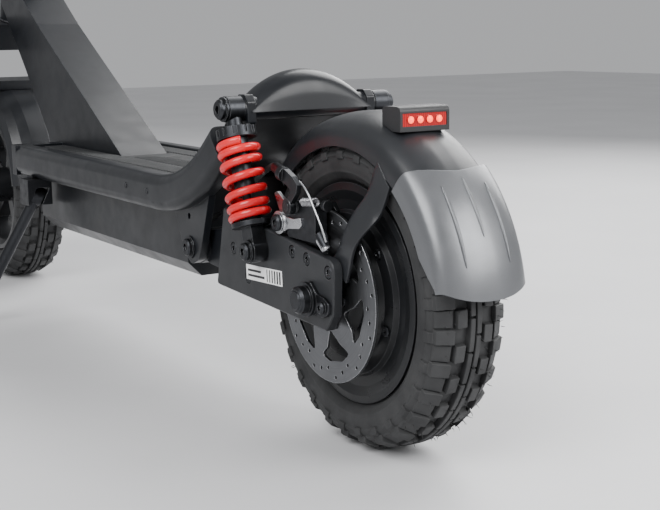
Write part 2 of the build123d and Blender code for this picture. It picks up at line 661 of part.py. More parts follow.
def front_fender():
    outline = fender_section(141, 3, 42, 20)
    face = Plane(x_dir=(math.cos(math.radians(50)), 0, math.sin(math.radians(50))),
                 z_dir=(-math.sin(math.radians(50)), 0, math.cos(math.radians(50))),
                 origin=(0, 0, 0)) * Polygon(*outline, align=None)
    return STEER * revolve(face, Axis((0, 0, 0), (0, -1, 0)), 110)


def front_tyre():
    return STEER * (Pos(0, 0, -TYRE_R) * tyre())


def front_rim():
    """Cast rim with five spokes and a hub with its bearings' bore on the axle."""
    rim = turned([(RIM_R, -23), (89, -23.5), (FLANGE_R, -28), (84, -28), (77, -21), (77, 21), (84, 28),
                  (FLANGE_R, 28), (89, 23.5), (RIM_R, 23)], 0, 0)
    hub = bar_y(0, 0, 24, -28, 28)
    spoke = slab([(18, -9), (78, -6), (78, 6), (18, 9)], -9, 9)
    for i in range(5):
        hub += Rot(0, -72 * i - 90, 0) * spoke
    return STEER * (rim + hub - bar_y(0, 0, 6 + RUN, -40, 40))


def fold_base():
    """Clamp on the steerer with the fold hinge behind it and the latch ears in front."""
    clamp = Pos(0, 0, 342) * Cylinder(27, 24, align=UPRIGHT)
    x, s = FOLD_PIVOT
    ear = slab([(-20, 344), (-20, 365.5), (x + 6, s + 3), (x - 6, s + 3), (x - 8, s - 8), (x, s - 18)], 16.4, 27)
    clamp += both(ear + bar_y(x, s, 9, 16.4, 27))
    clamp -= bar_y(x, s, 10, -16.4, 16.4)
    front = slab([(20, 344), (20, 360), (34, 362), (41, 355), (38, 346)], 11.4, 17, 1)
    clamp += both(front)
    pins = bar_y(x, s, 4, -28, 28) + bar_y(34, 353, 3, -17, 17)
    collar_room = Pos(0, 0, 330) * Cylinder(STEERER_R, 60, align=UPRIGHT)
    return STEER * (clamp - collar_room + pins)


def fold_latch():
    """Lever that hooks the stem to the base."""
    blade = slab([(29, 349), (29, 368), (27.6, 380), (27.6, 420), (34, 440), (39, 438), (36, 415), (38, 372),
                  (39, 352), (36, 348)], -10.8, 10.8, 1)
    blade += bar_y(34, 353, 5.5, -10.8, 10.8)
    return STEER * (blade - bar_y(34, 353, 3 + RUN, -20, 20))


def stem_tube():
    """Stem with its hinge knuckle at the foot and the handlebar clamp on top."""
    x, s = FOLD_PIVOT
    tube = Pos(0, 0, 366.4) * Cylinder(26.5, 12, align=UPRIGHT)
    tube += Pos(0, 0, 366.4) * Cylinder(22, BAR_S - 366.4, align=UPRIGHT)
    tube -= Pos(0, 0, 376) * Cylinder(19, BAR_S - 400, align=UPRIGHT)
    knuckle = slab([(x, s - 3), (x, s + 9), (-20, s + 12.4), (-20, s + 0.4)], -16, 16)
    tube += knuckle - block(-30, 0, -20, 20, s - 10, s + 0.4)
    tube += bar_y(x, s, 9, -16, 16)
    clamp = bar_y(0, BAR_S, 21, -26, 26)
    shape = tube + clamp - bar_y(0, BAR_S, BAR_R, -40, 40)
    return STEER * (shape - bar_y(x, s, 4 + RUN, -20, 20))


def handlebar():
    bar_tube = bar_y(0, BAR_S, BAR_R, -BAR_HALF, BAR_HALF) - bar_y(0, BAR_S, 8.5, -BAR_HALF - 1, BAR_HALF + 1)
    return STEER * bar_tube


def grips():
    grip = bar_y(0, BAR_S, 16.5, 176, 296) + bar_y(0, BAR_S, 19, 172, 176) + bar_y(0, BAR_S, 18, 296, 299)
    return STEER * both(grip - bar_y(0, BAR_S, BAR_R, 170, 310))


def lever_perches():
    x, y = LEVER_PIVOT
    ring = bar_y(0, BAR_S, 17, y - 9, y + 9)
    block_shape = block(8, x + 9, y - 9, y + 9, BAR_S - 10, BAR_S + 10)
    room = block(x - 10, x + 20, y - 12, y + 20, BAR_S - 5.4, BAR_S + 5.4)
    pin = Pos(x, y, BAR_S - 10) * Cylinder(3, 20, align=UPRIGHT)
    barrel = bar((16, y - 9, BAR_S), (20, y - 26, BAR_S), 4.5)
    perch = ring + block_shape - room + pin + barrel - bar_y(0, BAR_S, BAR_R, 100, 200)
    return STEER * both(perch)


def brake_lever(side):
    x, y = LEVER_PIVOT
    blade = Plane.XY.offset(BAR_S - 4) * fillet(
        Polygon((x - 7, y - 5), (x + 7, y - 7), (x + 16, y + 22), (x + 26, y + 80), (x + 34, y + 112),
                (x + 26, y + 114), (x + 17, y + 82), (x + 5, y + 28), (x - 6, y + 8), align=None).vertices(), 2)
    lever = extrude(blade, 8, dir=(0, 0, 1)) - Pos(x, y, BAR_S) * Cylinder(3 + RUN, 40)
    return STEER * (lever if side > 0 else mirror(lever, Plane.XZ))


def display_unit():
    """Display pod beside the right grip, with the throttle's collar next to it."""
    ring = bar_y(0, BAR_S, 16, -106, -68)
    pod = block(-24, 22, -108, -56, BAR_S + 10, BAR_S + 26)
    pod = fillet(pod.edges().filter_by(Axis.Z), 10)
    pod = chamfer(pod.edges().sort_by(Axis.Z)[-8:], 2)
    key_hole = Pos(-14, -98, BAR_S + 20) * Cylinder(4.3, 20)
    return STEER * (ring + pod - bar_y(0, BAR_S, BAR_R, -120, -50) - key_hole)


def mode_button():
    return STEER * (Pos(-14, -98, BAR_S + 20) * Cylinder(4, 8, align=UPRIGHT))


def throttle_lever():
    ring = bar_y(0, BAR_S, 15, -121, -109)
    paddle = slab([(-8, BAR_S - 8), (-12, BAR_S - 2), (-34, BAR_S - 18), (-40, BAR_S - 30), (-34, BAR_S - 32)],
                  -122, -108, 1.5)
    return STEER * (ring + paddle - bar_y(0, BAR_S, BAR_R + RUN, -140, -100))


def switch_pod():
    ring = bar_y(0, BAR_S, 16, 84, 112)
    pod = block(-22, -6, 80, 116, BAR_S - 12, BAR_S + 14)
    pod = fillet(pod.edges().filter_by(Axis.X), 5)
    holes = Plane((-28, 98, BAR_S + 1), z_dir=(1, 0, 0)) * Cylinder(5.3, 20)
    return STEER * (ring + pod - bar_y(0, BAR_S, BAR_R, 70, 130) - holes)


def horn_button():
    return STEER * bar((-25.5, 98, BAR_S + 1), (-20.6, 98, BAR_S + 1), 5)


def headlight():
    arm = block(18, 32, -8, 8, 872, 888) - Pos(0, 0, 860) * Cylinder(22, 60, align=UPRIGHT)
    case = Plane((30, 0, 880), z_dir=(1, 0, 0)) * Cylinder(26, 34, align=UPRIGHT)
    case = chamfer(case.edges().sort_by(Axis.X)[0], 8)
    glass = Plane((62, 0, 880), z_dir=(1, 0, 0)) * Cylinder(23, 1.5, align=UPRIGHT)
    return STEER * (arm + case - Plane((62, 0, 880), z_dir=(1, 0, 0)) * Cylinder(23, 10, align=UPRIGHT) + glass)


def nodes():
    """Every node's name and solid."""
    return {
        "side_rails": both(left_rail() + pivot_bracket()),
        "shock_cross_tube": shock_cross_tube(),
        "suspension_bolts": suspension_bolts(),
        "battery_tray": battery_tray(),
        "deck_plate": deck_plate(),
        "deck_mat": deck_mat(),
        "kickplate": kickplate(),
        "frame_neck": frame_neck(),
        "headset_cups": headset_cups(),
        "frame_screws": frame_screws(),
        "battery_pack": battery_pack(),
        "motor_controller": motor_controller(),
        "kickstand_bracket": kickstand_bracket(),
        "kickstand_leg": kickstand_leg(),
        "charge_cap": charge_cap(),
        "swingarm_core": swingarm_core(),
        "swingarm_plates": both(swingarm_plate()),
        "swingarm_bolts": swingarm_bolts(),
        "rear_axle": rear_axle(),
        "axle_nuts": axle_nuts(),
        "rear_stator": rear_stator(),
        "rear_tyre": tyre(),
        "rear_hub": rear_hub(),
        "rear_hub_cover": rear_hub_cover(),
        "rear_bearings": rear_bearings(),
        "rear_rotor": rear_rotor(),
        "wheel_screws": wheel_screws(),
        "caliper_bracket": caliper_bracket(),
        "caliper_body": caliper_body(),
        "caliper_arm": caliper_arm(),
        "brake_pads": brake_pads(),
        "rear_brake_cable": rear_brake_cable(),
        "rear_fender": rear_fender(),
        "fender_extension": fender_extension(),
        "tail_light_housing": tail_light_housing(),
        "tail_light_lens": tail_light_lens(),
        "shock_bodies": both(shock_body()),
        "preload_rings": both(preload_ring()),
        "shock_rods": both(shock_rod()),
        "shock_springs": both(shock_spring()),
        "fork_crown": fork_crown(),
        "fork_lowers": fork_lowers(),
        "front_axle": front_axle(),
        "front_fender": front_fender(),
        "front_tyre": front_tyre(),
        "front_rim": front_rim(),
        "fold_base": fold_base(),
        "fold_latch": fold_latch(),
        "stem_tube": stem_tube(),
        "handlebar": handlebar(),
        "grips": grips(),
        "lever_perches": lever_perches(),
        "left_brake_lever": brake_lever(1),
        "right_brake_lever": brake_lever(-1),
        "display_unit": display_unit(),
        "mode_button": mode_button(),
        "throttle_lever": throttle_lever(),
        "switch_pod": switch_pod(),
        "horn_button": horn_button(),
        "headlight": headlight(),
    }


os.makedirs("parts", exist_ok=True)
for name, shape in nodes().items():
    export_step(Pos(ORIGIN_X, 0, 0) * shape, f"parts/{name}.step")
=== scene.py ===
"""Looks of the electric kick scooter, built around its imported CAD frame. Metres, +X forward, +Y left, +Z up."""
import json
import math
import random

import bmesh
import bpy
from mathutils import Matrix, Vector

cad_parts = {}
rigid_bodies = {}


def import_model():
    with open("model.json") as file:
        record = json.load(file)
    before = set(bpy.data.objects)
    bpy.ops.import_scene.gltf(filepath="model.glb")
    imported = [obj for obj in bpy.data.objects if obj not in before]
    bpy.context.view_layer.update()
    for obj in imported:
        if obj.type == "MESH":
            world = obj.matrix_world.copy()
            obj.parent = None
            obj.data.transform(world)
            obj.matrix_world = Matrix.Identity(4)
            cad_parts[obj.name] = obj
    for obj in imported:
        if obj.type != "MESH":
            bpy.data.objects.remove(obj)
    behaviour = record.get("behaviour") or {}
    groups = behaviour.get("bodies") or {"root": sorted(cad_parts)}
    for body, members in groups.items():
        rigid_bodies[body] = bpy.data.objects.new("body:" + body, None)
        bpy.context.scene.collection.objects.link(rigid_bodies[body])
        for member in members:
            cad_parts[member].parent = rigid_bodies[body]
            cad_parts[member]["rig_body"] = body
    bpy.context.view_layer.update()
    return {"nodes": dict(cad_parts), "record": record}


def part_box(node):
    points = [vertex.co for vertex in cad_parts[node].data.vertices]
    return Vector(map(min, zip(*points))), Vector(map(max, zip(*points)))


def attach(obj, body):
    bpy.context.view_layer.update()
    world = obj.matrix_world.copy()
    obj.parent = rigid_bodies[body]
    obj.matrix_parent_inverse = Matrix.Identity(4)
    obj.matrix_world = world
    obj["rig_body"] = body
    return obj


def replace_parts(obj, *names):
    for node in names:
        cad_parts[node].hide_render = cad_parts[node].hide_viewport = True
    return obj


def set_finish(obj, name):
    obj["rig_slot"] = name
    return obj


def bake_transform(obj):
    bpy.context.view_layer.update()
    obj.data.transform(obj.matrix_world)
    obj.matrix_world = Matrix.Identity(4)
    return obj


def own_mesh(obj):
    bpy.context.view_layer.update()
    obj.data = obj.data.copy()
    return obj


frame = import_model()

RECORD = frame["record"]
JOINT = {j["name"]: j for j in RECORD["behaviour"]["joints"]}
SLOT_OF = {s["node"]: s["material_slot"] for s in RECORD["subparts"]}
AXLE = Vector(JOINT["rear_wheel_spin"]["pos_m"])
FRONT_AXLE = Vector(JOINT["front_wheel_spin"]["pos_m"])
MM = 0.001


def at(x, y, z):
    """Row point of a place given in millimetres from the point on the ground under the rear axle."""
    return Vector((AXLE.x + x * MM, y * MM, z * MM))


# ---- camera: the photograph's viewing angle, from behind and left of the rear wheel ----
CAMERA_PLACE = at(-866.8, 581.2, 340.6)
CAMERA_YAW, CAMERA_PITCH, CAMERA_ROLL = -31.64, -9.94, -0.85


def make_camera():
    yaw, pitch, roll = (math.radians(a) for a in (CAMERA_YAW, CAMERA_PITCH, CAMERA_ROLL))
    ahead = Vector((math.cos(pitch) * math.cos(yaw), math.cos(pitch) * math.sin(yaw), math.sin(pitch)))
    right = ahead.cross(Vector((0, 0, 1))).normalized()
    up = right.cross(ahead)
    across = right * math.cos(roll) + up * math.sin(roll)
    above = up * math.cos(roll) - right * math.sin(roll)
    turn = Matrix((across, above, -ahead)).transposed().to_4x4()
    data = bpy.data.cameras.new("camera")
    data.lens = 70.8
    data.sensor_width = 36
    data.clip_start = 0.05
    camera = bpy.data.objects.new("camera", data)
    camera.matrix_world = Matrix.Translation(CAMERA_PLACE) @ turn
    bpy.context.scene.collection.objects.link(camera)
    bpy.context.scene.camera = camera


make_camera()


# ---- shaders ----
class Finish:
    """A Principled material being wired up, with object-space texture coordinates."""

    def __init__(self, name, roughness=0.5, metallic=0.0, specular=0.5):
        self.material = bpy.data.materials.new(name)
        self.material.use_nodes = True
        self.tree = self.material.node_tree
        self.shader = self.tree.nodes["Principled BSDF"]
        self.shader.inputs["Roughness"].default_value = roughness
        self.shader.inputs["Metallic"].default_value = metallic
        self.shader.inputs["Specular IOR Level"].default_value = specular
        self.where = self.node("TexCoord").outputs["Object"]

    def node(self, kind, **values):
        made = self.tree.nodes.new("ShaderNode" + kind)
        for key, value in values.items():
            setattr(made, key, value)
        return made

    def link(self, source, target):
        self.tree.links.new(source, target)

    def put(self, name, source):
        self.link(source, self.shader.inputs[name])

    def noise(self, scale, detail=4.0, stretch=(1, 1, 1), rough=0.55):
        mapping = self.node("Mapping")
        mapping.inputs["Scale"].default_value = stretch
        self.link(self.where, mapping.inputs["Vector"])
        made = self.node("TexNoise")
        made.inputs["Scale"].default_value = scale
        made.inputs["Detail"].default_value = detail
        made.inputs["Roughness"].default_value = rough
        self.link(mapping.outputs["Vector"], made.inputs["Vector"])
        return made.outputs["Fac"]

    def spread(self, source, low, high, from_low=0.3, from_high=0.7):
        made = self.node("MapRange")
        for name, value in (("From Min", from_low), ("From Max", from_high), ("To Min", low), ("To Max", high)):
            made.inputs[name].default_value = value
        self.link(source, made.inputs["Value"])
        return made.outputs["Result"]

    def blend(self, factor, one, two):
        """Colour between one and two; each is a colour or a socket."""
        made = self.node("Mix", data_type="RGBA")
        for index, value in ((6, one), (7, two)):
            if isinstance(value, tuple):
                made.inputs[index].default_value = (*value, 1)
            else:
                self.link(value, made.inputs[index])
        self.link(factor, made.inputs["Factor"])
        return made.outputs[2]

    def times(self, one, two, operation="MULTIPLY"):
        made = self.node("Math", operation=operation)
        for index, value in enumerate((one, two)):
            if isinstance(value, (int, float)):
                made.inputs[index].default_value = value
            else:
                self.link(value, made.inputs[index])
        return made.outputs[0]

    def soft_edge(self, radius):
        """Normal rounded over sharp edges, and how much of an edge a place is."""
        bevel = self.node("Bevel", samples=4)
        bevel.inputs["Radius"].default_value = radius
        flat = self.node("NewGeometry").outputs["Normal"]
        dot = self.node("VectorMath", operation="DOT_PRODUCT")
        self.link(bevel.outputs["Normal"], dot.inputs[0])
        self.link(flat, dot.inputs[1])
        return bevel.outputs["Normal"], self.spread(dot.outputs["Value"], 1.0, 0.0, 0.75, 0.995)

    def bump(self, height, strength, distance, normal=None):
        made = self.node("Bump")
        made.inputs["Strength"].default_value = strength
        made.inputs["Distance"].default_value = distance
        self.link(height, made.inputs["Height"])
        if normal is not None:
            self.link(normal, made.inputs["Normal"])
        self.put("Normal", made.outputs["Normal"])


def paint(name, colour, edge_highlight_colour, rough=(0.28, 0.42), metallic=0.0, peel=0.05, coat=0.0):
    """Sprayed or powder coat: slight mottling, orange peel, rounded edges with a painted highlight along them."""
    f = Finish(name, metallic=metallic, specular=0.3)
    edge_normal, edge = f.soft_edge(0.0009)
    cloud = f.noise(14, 5)
    light = tuple(min(1, c * 1.35 + 0.0015) for c in colour)
    mottled = f.blend(f.spread(cloud, 0, 1), tuple(colour), light)
    # painted highlight: sharp edges lightened towards the second colour, broken up by noise
    edge_highlight_mask = f.times(edge, f.spread(f.noise(160, 3), 0.1, 0.9))
    f.put("Base Color", f.blend(edge_highlight_mask, mottled, tuple(edge_highlight_colour)))
    f.put("Roughness", f.spread(f.noise(45, 6), rough[0], rough[1]))
    f.bump(f.noise(900, 2), peel, 0.0004, edge_normal)
    f.shader.inputs["Coat Weight"].default_value = coat
    f.shader.inputs["Coat Roughness"].default_value = 0.12
    return f.material


def moulded(name, colour, rough=(0.4, 0.55), grain=1400, depth=0.25, sheen=0.0, specular=0.5):
    """Moulded plastic or rubber with a fine spark texture, mottled tone and a painted highlight on the edges."""
    f = Finish(name, specular=specular)
    edge_normal, edge = f.soft_edge(0.0007)
    light = tuple(min(1, c * 1.5 + 0.002) for c in colour)
    mottled = f.blend(f.spread(f.noise(22, 6), 0, 1), tuple(colour), light)
    # painted highlight: sharp edges lightened towards twice the base colour
    f.put("Base Color", f.blend(f.times(edge, 0.35), mottled, tuple(min(1, c * 2 + 0.02) for c in colour)))
    f.put("Roughness", f.spread(f.noise(60, 5), rough[0], rough[1]))
    cells = f.node("TexVoronoi", feature="F1")
    cells.inputs["Scale"].default_value = grain
    f.link(f.where, cells.inputs["Vector"])
    f.bump(cells.outputs["Distance"], depth, 0.0002, edge_normal)
    f.shader.inputs["Sheen Weight"].default_value = sheen
    return f.material


def metal(name, colour, rough=(0.22, 0.4), streak=(1, 14, 1), scale=60, dark=0.7, depth=0.12):
    """Machined or brushed metal: streaks across the cut, darker and lighter at random, with a painted highlight on
    the edges.
    """
    f = Finish(name, metallic=1.0)
    edge_normal, edge = f.soft_edge(0.0006)
    streaks = f.noise(scale, 8, streak, 0.7)
    low = tuple(c * dark for c in colour)
    body = f.blend(f.spread(streaks, 0, 1), low, tuple(colour))
    # painted highlight: sharp edges lightened towards a paler copy of the colour
    f.put("Base Color", f.blend(edge, body, tuple(min(1, c * 1.5 + 0.1) for c in colour)))
    f.put("Roughness", f.spread(f.noise(scale * 1.7, 6, streak), rough[0], rough[1]))
    f.bump(streaks, depth, 0.0002, edge_normal)
    return f.material


def turned_steel(name, colour):
    """Disc face: grinding rings about the wheel's axle."""
    f = Finish(name, metallic=1.0)
    edge_normal, edge = f.soft_edge(0.0006)
    offset = f.node("VectorMath", operation="SUBTRACT")
    offset.inputs[1].default_value = AXLE
    f.link(f.where, offset.inputs[0])
    split = f.node("SeparateXYZ")
    f.link(offset.outputs["Vector"], split.inputs[0])
    square = f.times(f.times(split.outputs["X"], split.outputs["X"]),
                     f.times(split.outputs["Z"], split.outputs["Z"]), "ADD")
    radius = f.times(square, 0.5, "POWER")
    rings = f.node("TexNoise", noise_dimensions="1D")
    rings.inputs["Scale"].default_value = 900
    rings.inputs["Detail"].default_value = 5
    f.link(radius, rings.inputs["W"])
    ring = rings.outputs["Fac"]
    body = f.blend(f.spread(ring, 0, 1), tuple(c * 0.72 for c in colour), tuple(colour))
    stained = f.blend(f.spread(f.noise(35, 6), 0, 0.45), body, tuple(c * 0.5 for c in colour))
    # painted highlight: sharp edges lightened to pale steel
    f.put("Base Color", f.blend(edge, stained, (0.75, 0.76, 0.78)))
    f.put("Roughness", f.spread(ring, 0.3, 0.48))
    f.bump(ring, 0.15, 0.0002, edge_normal)
    return f.material


def rubber_tyre(name):
    """Tyre rubber: dull, lighter in random patches of dust, with a painted highlight on the edges and fine mould
    lines.
    """
    f = Finish(name, specular=0.35)
    edge_normal, edge = f.soft_edge(0.0008)
    dust = f.spread(f.noise(30, 8), 0, 0.6, 0.35, 0.75)
    body = f.blend(dust, (0.022, 0.0225, 0.0235), (0.06, 0.0605, 0.061))
    # painted highlight: sharp edges lightened towards grey
    f.put("Base Color", f.blend(f.times(edge, 0.4), body, (0.11, 0.11, 0.11)))
    f.put("Roughness", f.spread(f.noise(80, 6), 0.55, 0.78))
    f.bump(f.noise(1100, 6), 0.35, 0.0004, edge_normal)
    return f.material


def pearl(name, colour):
    """Silver-grey satin moulding with metallic flake."""
    f = Finish(name, metallic=0.55)
    edge_normal, edge = f.soft_edge(0.0008)
    flake = f.node("TexVoronoi", feature="F1")
    flake.inputs["Scale"].default_value = 2600
    f.link(f.where, flake.inputs["Vector"])
    sparkle = f.spread(flake.outputs["Distance"], 0, 0.5, 0.1, 0.8)
    body = f.blend(sparkle, tuple(colour), tuple(c * 0.72 for c in colour))
    f.put("Base Color", f.blend(f.spread(f.noise(9, 5), 0, 0.25), body, tuple(c * 0.6 for c in colour)))
    f.put("Roughness", f.spread(f.noise(50, 5), 0.3, 0.4))
    f.bump(f.noise(800, 3), 0.06, 0.0003, edge_normal)
    f.shader.inputs["Coat Weight"].default_value = 0.25
    f.shader.inputs["Coat Roughness"].default_value = 0.25
    return f.material


def glowing(name, colour, strength):
    """Lit lamp: a bright moulded dome with facets."""
    f = Finish(name, roughness=0.25)
    cells = f.node("TexVoronoi", feature="F1")
    cells.inputs["Scale"].default_value = 700
    f.link(f.where, cells.inputs["Vector"])
    lit = f.blend(f.spread(cells.outputs["Distance"], 0, 1, 0.1, 0.9), tuple(colour), (1.0, 0.12, 0.04))
    f.put("Base Color", lit)
    f.put("Emission Color", lit)
    f.shader.inputs["Emission Strength"].default_value = strength
    return f.material


def clear_lens(name, colour):
    """Moulded lens with fine vertical flutes."""
    f = Finish(name, roughness=0.12)
    wave = f.node("TexWave", wave_type="BANDS", bands_direction="Y")
    wave.inputs["Scale"].default_value = 160
    f.link(f.where, wave.inputs["Vector"])
    f.put("Base Color", f.blend(wave.outputs["Fac"], tuple(colour), tuple(c * 0.6 for c in colour)))
    f.bump(wave.outputs["Fac"], 0.3, 0.0005)
    f.shader.inputs["Coat Weight"].default_value = 1.0
    return f.material


FINISH = {
    "frame_paint": paint("frame_paint", (0.006, 0.007, 0.009), (0.08, 0.085, 0.095), coat=0.08),
    "plate_paint": paint("plate_paint", (0.018, 0.019, 0.021), (0.14, 0.145, 0.15), rough=(0.36, 0.5), peel=0.12),
    "hub_black": paint("hub_black", (0.008, 0.0085, 0.0095), (0.09, 0.09, 0.1), rough=(0.26, 0.38)),
    "stem_paint": paint("stem_paint", (0.008, 0.009, 0.011), (0.08, 0.085, 0.09)),
    "spring_red": paint("spring_red", (0.62, 0.008, 0.014), (0.8, 0.05, 0.05), rough=(0.2, 0.32), coat=0.6),
    "black_plastic": moulded("black_plastic", (0.009, 0.009, 0.01)),
    "soft_rubber": moulded("soft_rubber", (0.022, 0.022, 0.023), rough=(0.6, 0.75), grain=900, depth=0.4),
    "deck_rubber": moulded("deck_rubber", (0.016, 0.017, 0.018), rough=(0.5, 0.7), grain=1100, depth=0.45),
    "fender_black": moulded("fender_black", (0.011, 0.012, 0.014), rough=(0.3, 0.42), grain=2200, depth=0.1),
    "battery_wrap": moulded("battery_wrap", (0.05, 0.12, 0.3), rough=(0.25, 0.4), grain=300, depth=0.2),
    "alloy": metal("alloy", (0.62, 0.63, 0.65)),
    "steel": metal("steel", (0.5, 0.5, 0.52), scale=90),
    "black_steel": metal("black_steel", (0.05, 0.052, 0.057), rough=(0.3, 0.5), scale=90),
    "copper_iron": metal("copper_iron", (0.42, 0.22, 0.12), streak=(1, 30, 1)),
    "tyre_rubber": rubber_tyre("tyre_rubber"),
    "fender_grey": pearl("fender_grey", (0.17, 0.175, 0.184)),
    "red_lens": clear_lens("red_lens", (0.55, 0.01, 0.01)),
}
DISC_STEEL = turned_steel("disc_steel", (0.2, 0.205, 0.215))
LED_RED = glowing("led_red", (0.95, 0.02, 0.008), 3.5)
LABEL_WHITE = moulded("label_white", (0.75, 0.75, 0.75), rough=(0.35, 0.5), grain=1800, depth=0.05)


OWN_FINISH = {
    "rear_rotor": DISC_STEEL,
    "suspension_bolts": FINISH["black_steel"],
    "shock_rods": FINISH["black_steel"],
    "rear_axle": FINISH["black_steel"],
}


def dress_cad_nodes():
    for name, piece in frame["nodes"].items():
        finish = OWN_FINISH.get(name) or FINISH[SLOT_OF[name]]
        piece.data.materials.clear()
        piece.data.materials.append(finish)


# ---- mesh helpers ----
def piece(name, points, faces, slot, body=None, material=None, smooth=True):
    """A mesh piece that rides on a body and takes a slot's finish."""
    data = bpy.data.meshes.new(name)
    data.from_pydata([tuple(p) for p in points], [], faces)
    data.validate()
    data.materials.append(material or FINISH[slot])
    data.polygons.foreach_set("use_smooth", [smooth] * len(data.polygons))
    made = bpy.data.objects.new(name, data)
    bpy.context.scene.collection.objects.link(made)
    if body:
        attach(made, body)
    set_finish(made, slot)
    return made


def apply_modifiers(made):
    """Turns the piece's modifiers into mesh."""
    graph = bpy.context.evaluated_depsgraph_get()
    data = bpy.data.meshes.new_from_object(made.evaluated_get(graph))
    made.modifiers.clear()
    made.data = data


def bevelled(made, width, segments=2):
    modifier = made.modifiers.new("bevel", "BEVEL")
    modifier.width = width
    modifier.segments = segments
    modifier.limit_method = "ANGLE"
    modifier.angle_limit = math.radians(35)
    modifier.harden_normals = True
    apply_modifiers(made)
    return made


def thickened(made, thickness, offset=-1.0):
    modifier = made.modifiers.new("thick", "SOLIDIFY")
    modifier.thickness = thickness
    modifier.offset = offset
    modifier.use_even_offset = True
    apply_modifiers(made)
    return made


def grid_faces(rows, columns, close_rows=False, close_columns=False):
    """Quads of a grid whose points run column by column within each row."""
    faces = []
    for i in range(rows if close_rows else rows - 1):
        for j in range(columns if close_columns else columns - 1):
            a, b = i * columns + j, i * columns + (j + 1) % columns
            c = (i + 1) % rows * columns + (j + 1) % columns
            d = (i + 1) % rows * columns + j
            faces.append((a, b, c, d))
    return faces


def shell(name, outer, inner, slot, body):
    """Closed shell between two matching grids of points, with a rim all round."""
    rows, columns = len(outer), len(outer[0])
    count = rows * columns
    points = [p for grid in (outer, inner) for row in grid for p in row]
    faces = grid_faces(rows, columns)
    faces += [tuple(count + v for v in reversed(f)) for f in grid_faces(rows, columns)]
    ring = list(range(columns)) + [i * columns + columns - 1 for i in range(1, rows)]
    ring += [(rows - 1) * columns + j for j in range(columns - 2, -1, -1)]
    ring += [i * columns for i in range(rows - 2, 0, -1)]
    for a, b in zip(ring, ring[1:] + ring[:1]):
        faces.append((b, a, count + a, count + b))
    made = piece(name, points, faces, slot, body)
    mesh = bmesh.new()
    mesh.from_mesh(made.data)
    bmesh.ops.recalc_face_normals(mesh, faces=mesh.faces)
    mesh.to_mesh(made.data)
    mesh.free()
    return bevelled(made, 0.0006, 2)


def tube(name, path, radius, slot, body=None, sides=16, material=None, closed=False, caps=True):
    """A round tube along a path of points; radius is a number or one value per point."""
    path = [Vector(p) for p in path]
    count = len(path)
    radii = radius if isinstance(radius, list) else [radius] * count
    normal = None
    points = []
    for i, p in enumerate(path):
        ahead = path[(i + 1) % count] if closed else path[min(i + 1, count - 1)]
        behind = path[(i - 1) % count] if closed else path[max(i - 1, 0)]
        along = (ahead - behind).normalized()
        if normal is None:
            normal = along.orthogonal().normalized()
        normal = (normal - along * normal.dot(along)).normalized()
        side = along.cross(normal)
        for k in range(sides):
            a = math.tau * k / sides
            points.append(p + (normal * math.cos(a) + side * math.sin(a)) * radii[i])
    faces = grid_faces(count, sides, closed, True)
    if caps and not closed:
        faces.append(tuple(range(sides))[::-1])
        faces.append(tuple(range((count - 1) * sides, count * sides)))
    return piece(name, points, faces, slot, body, material)


def revolved(name, outline, centre, slot, body=None, steps=96, material=None, closed=True):
    """Ring about a Y line through centre, from an outline of (radius, y) in millimetres."""
    points = []
    for i in range(steps):
        a = math.tau * i / steps
        for r, y in outline:
            points.append(centre + Vector((r * MM * math.cos(a), y * MM, r * MM * math.sin(a))))
    return piece(name, points, grid_faces(steps, len(outline), True, closed), slot, body, material)


def smooth_outline(corners, rounds=3, closed=False):
    """Corner-cut polyline, which rounds an outline evenly."""
    points = [tuple(p) for p in corners]
    for _ in range(rounds):
        cut = [] if closed else [points[0]]
        pairs = list(zip(points, points[1:] + (points[:1] if closed else [])))
        for a, b in pairs:
            cut.append(tuple(a[k] * 0.75 + b[k] * 0.25 for k in range(len(a))))
            cut.append(tuple(a[k] * 0.25 + b[k] * 0.75 for k in range(len(a))))
        points = cut if closed else cut + [points[-1]]
    return points


def joined(name, parts):
    """Several meshes as one piece, which keeps the first part's rider and slot."""
    graph_data = bpy.data.meshes.new(name)
    points, faces, materials, index = [], [], [], []
    for part in parts:
        base = len(points)
        points += [part.matrix_world @ v.co for v in part.data.vertices]
        slots = []
        for material in part.data.materials:
            if material not in materials:
                materials.append(material)
            slots.append(materials.index(material))
        for polygon in part.data.polygons:
            faces.append(tuple(base + v for v in polygon.vertices))
            index.append((slots[polygon.material_index], polygon.use_smooth))
    graph_data.from_pydata([tuple(p) for p in points], [], faces)
    for material in materials:
        graph_data.materials.append(material)
    for polygon, (slot, smooth) in zip(graph_data.polygons, index):
        polygon.material_index = slot
        polygon.use_smooth = smooth
    made = bpy.data.objects.new(name, graph_data)
    bpy.context.scene.collection.objects.link(made)
    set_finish(made, parts[0]["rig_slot"])
    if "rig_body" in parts[0]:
        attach(made, parts[0]["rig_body"])
    for part in parts:
        bpy.data.objects.remove(part)
    return made


# ---- tyres ----
TREAD_PITCHES = 29
TREAD_R = 129.0


def tyre_carcass(name, centre, body):
    """Casing without its knobs: bead, bulged sidewall with a raised ring, rounded crown."""
    half = [(83, 22), (90, 23.5), (92.5, 28), (97, 31.2), (98.5, 32.4), (100, 32.2), (104, 33), (110, 32.6),
            (111, 33.6), (112.5, 33.4), (116, 31), (119.5, 28), (121.5, 23), (122.6, 16), (123.2, 8), (123.4, 0)]
    outline = half + [(r, -y) for r, y in half[-2::-1]]
    rounded = smooth_outline(outline, 2)
    return revolved(name, rounded, centre, "tyre_rubber", body, steps=180)


